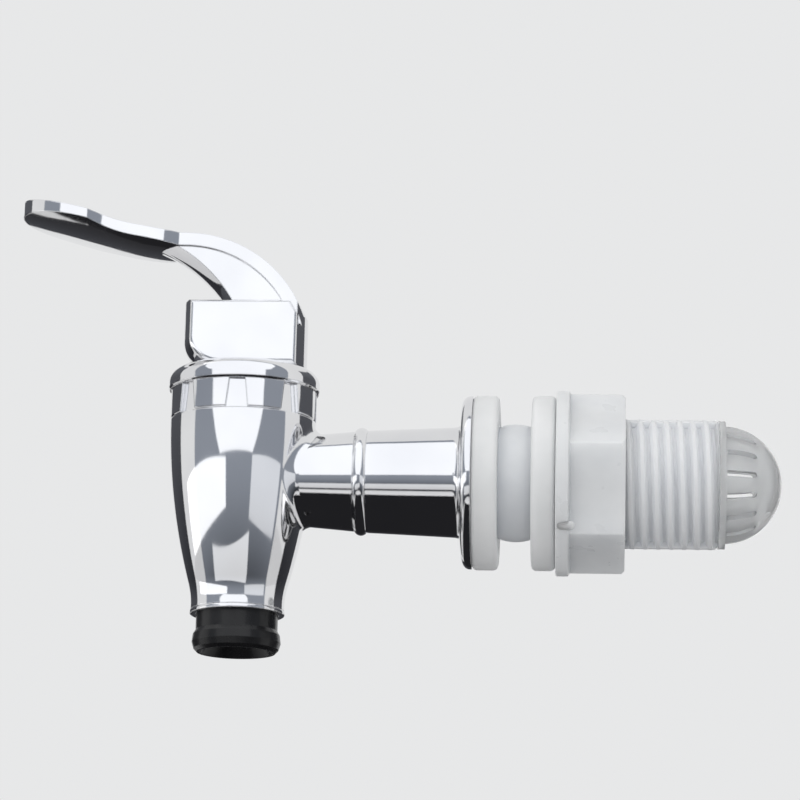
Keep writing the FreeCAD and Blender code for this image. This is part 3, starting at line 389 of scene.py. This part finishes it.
def build_nut():
    low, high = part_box("lock_nut")
    front = low[0] / MM
    back = high[0] / MM
    tilt = math.radians(NUT_TURN_DEG)
    turns = hexagon_turns()
    corners = []
    for turn in turns:
        hexagon = hexagon_rad(turn)
        end_rad = min(hexagon, NUT_CORNER_RAD) - NUT_END_STEP
        section = [
            (front, NUT_BORE_RAD),
            (front, NUT_LIP_RAD - NUT_LIP_EDGE),
            (front + NUT_LIP_EDGE, NUT_LIP_RAD),
            (front + NUT_LIP_THICK, NUT_LIP_RAD),
            (front + NUT_LIP_THICK + NUT_LIP_SLOPE, hexagon),
            (back - (hexagon - end_rad), hexagon),
            (back, end_rad),
            (back, NUT_BORE_RAD),
        ]
        for x, radius in section:
            corners.append((x, radius * math.cos(turn + tilt), radius * math.sin(turn + tilt)))
    count = len(corners) // len(turns)
    faces = []
    for column in range(len(turns)):
        here = column * count
        there = (column + 1) % len(turns) * count
        for place in range(count):
            after = (place + 1) % count
            faces.append((here + place, there + place, there + after, here + after))
    nut = finished("hexagon_nut", corners, faces, NUT_PLASTIC, "nut")
    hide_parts("lock_nut")


# Stub of the nut's moulding gate
NUB_DEG = 218.5
NUB_LONG = 3.0
NUB_WIDE = 0.8
NUB_TALL = 0.4
NUB_SINK = 0.25
NUB_END_FULLNESS = 0.5
NUB_SIDE_FULLNESS = 0.8
NUB_STEPS = 24
NUB_ROWS = 9


def full(value, power):
    """Sine or cosine pushed outwards by a power below 1, with its sign kept."""
    return math.copysign(abs(value) ** power, value)


def build_nub():
    """Low rounded bar across the nut's lip."""
    turn = math.radians(NUB_DEG)
    outward = Vector((0, math.cos(turn), math.sin(turn)))
    across = Vector((0, math.sin(turn), -math.cos(turn)))
    middle_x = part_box("lock_nut")[0][0] / MM + NUB_LONG / 2
    middle = outward * (NUT_LIP_RAD - NUB_SINK)
    corners = [tuple(Vector((middle_x, 0, 0)) + middle - outward * NUB_TALL)]
    for row in range(1, NUB_ROWS):
        rise = -math.pi / 2 + math.pi * row / NUB_ROWS
        for lap in turns_round(NUB_STEPS):
            run = full(math.cos(lap), NUB_END_FULLNESS) * NUB_LONG / 2 * math.cos(rise)
            side = full(math.sin(lap), NUB_SIDE_FULLNESS) * NUB_WIDE * math.cos(rise)
            corners.append(tuple(Vector((middle_x + run, 0, 0)) + middle + across * side
                                 + outward * NUB_TALL * math.sin(rise)))
    corners.append(tuple(Vector((middle_x, 0, 0)) + middle + outward * NUB_TALL))
    faces = capped_faces(NUB_STEPS, NUB_ROWS - 1)
    finished("nut_gate_stub", corners, faces, NUT_PLASTIC, "nut")


# Valve parts that in the real tap change length as the stem rises, the soft cup and the return spring, each
# built here at one length
GUIDE_FACE_Z = 14.4
NECK_TOP_Z = 13.2
GUIDE_RAD = 9.1
CHAMBER_RAD = 7.7
CHAMBER_ROOM = 0.2
CUP_BORE_RAD = 5.0
CUP_WALL = 1.0
CUP_NOSE_Z = -12.95
CUP_NOSE_RAD = 4.9
CUP_NOSE_EDGE = 0.5
CUP_NOSE_HIGH = 0.8
CUP_TAPER_DROP = 3.0
CUP_FLARE_DROP = 1.0
CUP_FLARE_EDGE = 0.2
CUP_BORE_DROP = 2.0
CUP_FUNNEL_HIGH = 2.4
KNOB_RAD = 3.05
KNOB_LOW_Z = -12.0
KNOB_HIGH_Z = -9.55
KNOB_EDGE = 0.3
FOOT_BORE_RAD = 2.25
DISC_TOP_Z = 1.5
WIRE_RAD = 0.4
COIL_RAD = 3.9
COIL_TURNS = 5.5
FACE_GAP = 0.05
CUP_STEPS = 96
WIRE_STEPS = 16
SECTIONS_PER_TURN = 48


def build_cup():
    """Bell hung under the guide, built at one length; the real one shortens as the stem lifts its nose off
    the seat.
    """
    outline = [
        (CUP_NOSE_RAD - CUP_NOSE_EDGE, CUP_NOSE_Z),
        (CUP_NOSE_RAD, CUP_NOSE_Z + CUP_NOSE_HIGH),
        (CUP_BORE_RAD + CUP_WALL, DISC_TOP_Z - CUP_TAPER_DROP),
        (CUP_BORE_RAD + CUP_WALL, NECK_TOP_Z - CUP_FLARE_DROP),
        (CHAMBER_RAD - CHAMBER_ROOM, NECK_TOP_Z - CUP_FLARE_EDGE),
        (CHAMBER_RAD - CHAMBER_ROOM, NECK_TOP_Z),
        (GUIDE_RAD, NECK_TOP_Z),
        (GUIDE_RAD, GUIDE_FACE_Z),
        (CUP_BORE_RAD, GUIDE_FACE_Z),
        (CUP_BORE_RAD, DISC_TOP_Z - CUP_BORE_DROP),
        (FOOT_BORE_RAD, KNOB_HIGH_Z + CUP_FUNNEL_HIGH),
        (FOOT_BORE_RAD, KNOB_HIGH_Z),
        (KNOB_RAD, KNOB_HIGH_Z - KNOB_EDGE),
        (KNOB_RAD, KNOB_LOW_Z),
    ]
    corners = [(AXIS_X, 0.0, CUP_NOSE_Z)]
    for radius, z in outline:
        corners += [barrel_corner(radius, turn, z) for turn in turns_round(CUP_STEPS)]
    corners.append((AXIS_X, 0.0, KNOB_LOW_Z))
    faces = capped_faces(CUP_STEPS, len(outline))
    cup = finished("seat_bell", corners, faces, SILICONE, "tap")
    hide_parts("seat_cup")
    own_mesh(cup)


def build_spring():
    """Coil of round wire between the guide and the stem's disc, built at one length; the real coil is
    pressed shorter as the disc rises.
    """
    low = DISC_TOP_Z + FACE_GAP + WIRE_RAD
    tall = GUIDE_FACE_Z - DISC_TOP_Z
    rise = tall - 2 * (WIRE_RAD + FACE_GAP)
    sections = int(COIL_TURNS * SECTIONS_PER_TURN)

    def centre(section):
        lap = 2 * math.pi * COIL_TURNS * section / sections
        outward = Vector((math.cos(lap), math.sin(lap), 0))
        return outward, Vector((AXIS_X, 0, low + rise * section / sections)) + outward * COIL_RAD

    corners = [tuple(centre(0)[1])]
    for section in range(sections + 1):
        outward, middle = centre(section)
        for turn in turns_round(WIRE_STEPS):
            rim = outward * math.sin(turn) + Vector((0, 0, math.cos(turn)))
            corners.append(tuple(middle + rim * WIRE_RAD))
    corners.append(tuple(centre(sections)[1]))
    faces = capped_faces(WIRE_STEPS, sections + 1)
    spring = finished("coil_spring", corners, faces, STEEL, "stem")
    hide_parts("return_spring")
    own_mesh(spring)


build_barrel()
build_nut()
build_nub()
build_cup()
build_spring()


# Camera, solved from the round edges in the photograph
def build_camera():
    azimuth = math.radians(-3.42)
    elevation = math.radians(13.38)
    roll = math.radians(1.27)
    focal_px = 3500.0
    px_per_mm = 6.465
    half_px = 400.0
    target = Vector((COVER_BACK_X, 0, 0))
    target_px = (473.15, 483.0)
    ahead = Vector((math.sin(azimuth) * math.cos(elevation),
                    math.cos(azimuth) * math.cos(elevation), math.sin(elevation)))
    level = Vector((math.cos(azimuth), -math.sin(azimuth), 0))
    upward = level.cross(ahead)
    right = level * math.cos(roll) + upward * math.sin(roll)
    top = upward * math.cos(roll) - level * math.sin(roll)
    away = focal_px / px_per_mm
    ray = (ahead + right * ((target_px[0] - half_px) / focal_px)
           - top * ((target_px[1] - half_px) / focal_px))
    spot = (target - ray * away) * MM
    turn = Matrix((right, top, -ahead)).transposed().to_4x4()
    data = bpy.data.cameras.new("camera")
    data.sensor_width = 36.0
    data.lens = focal_px / (2 * half_px) * data.sensor_width
    data.clip_start = 0.01
    camera = bpy.data.objects.new("camera", data)
    camera.matrix_world = Matrix.Translation(spot) @ turn
    bpy.context.scene.collection.objects.link(camera)
    bpy.context.scene.camera = camera


build_camera()


# Studio, in metres: pale floor and surroundings, four soft lamps, and dark cards that only reflections see
BACKDROP = (0.80, 0.805, 0.81)
WORLD_LIGHT = 0.45
FLOOR_Z = -0.50
FLOOR_REACH = 4.0
FLOOR_GLOW = 0.34
TABLE_Z = -0.30
TABLE_TONE = (0.016, 0.016, 0.018)
CARD_AWAY = 1.0
CARD_STEPS = 24
LAMP_AWAY = 0.7


def seen_directly(tree):
    """1 for camera, glossy and transmission rays, which see a pale ground and backdrop."""
    path = tree.nodes.new("ShaderNodeLightPath")
    fact = path.outputs["Is Camera Ray"]
    for ray in ("Is Glossy Ray", "Is Transmission Ray"):
        either = tree.nodes.new("ShaderNodeMath")
        either.operation = "MAXIMUM"
        tree.links.new(fact, either.inputs[0])
        tree.links.new(path.outputs[ray], either.inputs[1])
        fact = either.outputs[0]
    return fact


def direction(bearing, rise):
    """Unit vector; bearing in degrees runs from the front, -Y, towards +X, and rise goes up from level."""
    bearing = math.radians(bearing)
    rise = math.radians(rise)
    return Vector((math.sin(bearing) * math.cos(rise), -math.cos(bearing) * math.cos(rise), math.sin(rise)))


def sheet_object(name, corners, faces):
    mesh = bpy.data.meshes.new(name)
    mesh.from_pydata(corners, [], faces)
    sheet = bpy.data.objects.new(name, mesh)
    bpy.context.scene.collection.objects.link(sheet)
    return sheet


def level_sheet(name, half, front, back, low):
    corners = [(-half, front, low), (half, front, low), (half, back, low), (-half, back, low)]
    return sheet_object(name, corners, [(0, 1, 2, 3)])


def curved_sheet(name, bearings, rises):
    """Part of a ball round the object, between two bearings and two rises."""
    corners = []
    for row in range(CARD_STEPS + 1):
        rise = rises[0] + (rises[1] - rises[0]) * row / CARD_STEPS
        for column in range(CARD_STEPS + 1):
            bearing = bearings[0] + (bearings[1] - bearings[0]) * column / CARD_STEPS
            corners.append(tuple(direction(bearing, rise) * CARD_AWAY))
    faces = []
    for row in range(CARD_STEPS):
        for column in range(CARD_STEPS):
            here = row * (CARD_STEPS + 1) + column
            there = here + CARD_STEPS + 1
            faces.append((here, here + 1, there + 1, there))
    return sheet_object(name, corners, faces)


def build_floor():
    """Pale floor that takes the object's shadow; part of its paleness is its own, for what sees it."""
    floor = level_sheet("floor", half=FLOOR_REACH, front=-FLOOR_REACH, back=FLOOR_REACH, low=FLOOR_Z)
    material, tree, shader = new_material("pale_floor")
    grain = object_noise(tree, scale=6, detail=2)
    colour = ramp(tree, grain, (0.72, 0.72, 0.725), (0.75, 0.75, 0.755))
    tree.links.new(colour, shader.inputs["Base Color"])
    shader.inputs["Roughness"].default_value = 0.6
    shader.inputs["Emission Color"].default_value = (*BACKDROP, 1)
    share = tree.nodes.new("ShaderNodeMath")
    share.operation = "MULTIPLY"
    share.inputs[1].default_value = FLOOR_GLOW
    tree.links.new(seen_directly(tree), share.inputs[0])
    tree.links.new(share.outputs[0], shader.inputs["Emission Strength"])
    floor.data.materials.append(material)


def reflected_only(card, low_tone, high_tone, low, high):
    """Card that only reflections see; its tone runs from one height to another, in metres."""
    card.visible_camera = False
    card.visible_diffuse = False
    card.visible_transmission = False
    card.visible_shadow = False
    material = bpy.data.materials.new(card.name)
    material.use_nodes = True
    tree = material.node_tree
    tree.nodes.clear()
    spot = tree.nodes.new("ShaderNodeTexCoord")
    split = tree.nodes.new("ShaderNodeSeparateXYZ")
    tree.links.new(spot.outputs["Object"], split.inputs["Vector"])
    rise = tree.nodes.new("ShaderNodeMapRange")
    rise.interpolation_type = "SMOOTHSTEP"
    rise.inputs["From Min"].default_value = low
    rise.inputs["From Max"].default_value = high
    tree.links.new(split.outputs["Z"], rise.inputs["Value"])
    tone = ramp(tree, rise.outputs["Result"], low_tone, high_tone, start=0.0, end=1.0)
    glow = tree.nodes.new("ShaderNodeEmission")
    tree.links.new(tone, glow.inputs["Color"])
    out = tree.nodes.new("ShaderNodeOutputMaterial")
    tree.links.new(glow.outputs["Emission"], out.inputs["Surface"])
    card.data.materials.append(material)


def build_cards():
    """The dark table and room of the photograph, for the plating's reflections alone."""
    table = level_sheet("table_card", half=0.36, front=-0.36, back=0.85, low=TABLE_Z)
    reflected_only(table, TABLE_TONE, TABLE_TONE, low=-1.0, high=0.0)
    front = curved_sheet("front_card", bearings=(-76, 74), rises=(-40, 86))
    reflected_only(front, (0.03, 0.032, 0.037), (0.28, 0.305, 0.35), low=-0.55, high=0.05)
    rear = curved_sheet("rear_card", bearings=(158, 204), rises=(-21, -3))
    reflected_only(rear, (0.03, 0.03, 0.033), (0.06, 0.062, 0.07), low=-0.35, high=0.0)
    for name, bearings in (("left_card", (-150, -108)), ("right_card", (106, 148))):
        side = curved_sheet(name, bearings, rises=(-16, 36))
        reflected_only(side, (0.03, 0.031, 0.036), (0.13, 0.135, 0.15), low=-0.2, high=0.6)


def build_world():
    """Even light on every surface; camera, plating and clear plastic see the pale backdrop."""
    world = bpy.data.worlds.new("studio")
    bpy.context.scene.world = world
    world.use_nodes = True
    tree = world.node_tree
    tree.nodes.clear()
    light = tree.nodes.new("ShaderNodeBackground")
    light.inputs["Color"].default_value = (1, 1, 1, 1)
    light.inputs["Strength"].default_value = WORLD_LIGHT
    backdrop = tree.nodes.new("ShaderNodeBackground")
    backdrop.inputs["Color"].default_value = (*BACKDROP, 1)
    mix = tree.nodes.new("ShaderNodeMixShader")
    tree.links.new(seen_directly(tree), mix.inputs["Fac"])
    tree.links.new(light.outputs[0], mix.inputs[1])
    tree.links.new(backdrop.outputs[0], mix.inputs[2])
    out = tree.nodes.new("ShaderNodeOutputWorld")
    tree.links.new(mix.outputs[0], out.inputs["Surface"])


def build_lamp(name, bearing, rise, wide_deg, tall_deg, radiance):
    """Soft rectangular lamp aimed at the object."""
    spot = direction(bearing, rise)
    data = bpy.data.lights.new(name, "AREA")
    data.shape = "RECTANGLE"
    data.size = 2 * LAMP_AWAY * math.tan(math.radians(wide_deg) / 2)
    data.size_y = 2 * LAMP_AWAY * math.tan(math.radians(tall_deg) / 2)
    data.energy = radiance * math.pi * data.size * data.size_y
    lamp = bpy.data.objects.new(name, data)
    lamp.location = spot * LAMP_AWAY + Vector((AXIS_X * MM / 2, 0, 0))
    lamp.rotation_euler = spot.to_track_quat("Z", "Y").to_euler()
    lamp.visible_camera = False
    bpy.context.scene.collection.objects.link(lamp)


build_floor()
build_cards()
build_world()
build_lamp("key_lamp", bearing=-6, rise=43, wide_deg=92, tall_deg=78, radiance=0.85)
build_lamp("left_lamp", bearing=-58, rise=-3, wide_deg=74, tall_deg=13, radiance=0.95)
build_lamp("right_lamp", bearing=45, rise=-4, wide_deg=50, tall_deg=15, radiance=0.5)
build_lamp("low_lamp", bearing=-14, rise=-21, wide_deg=70, tall_deg=11, radiance=0.65)
bpy.context.scene.view_settings.view_transform = "Standard"
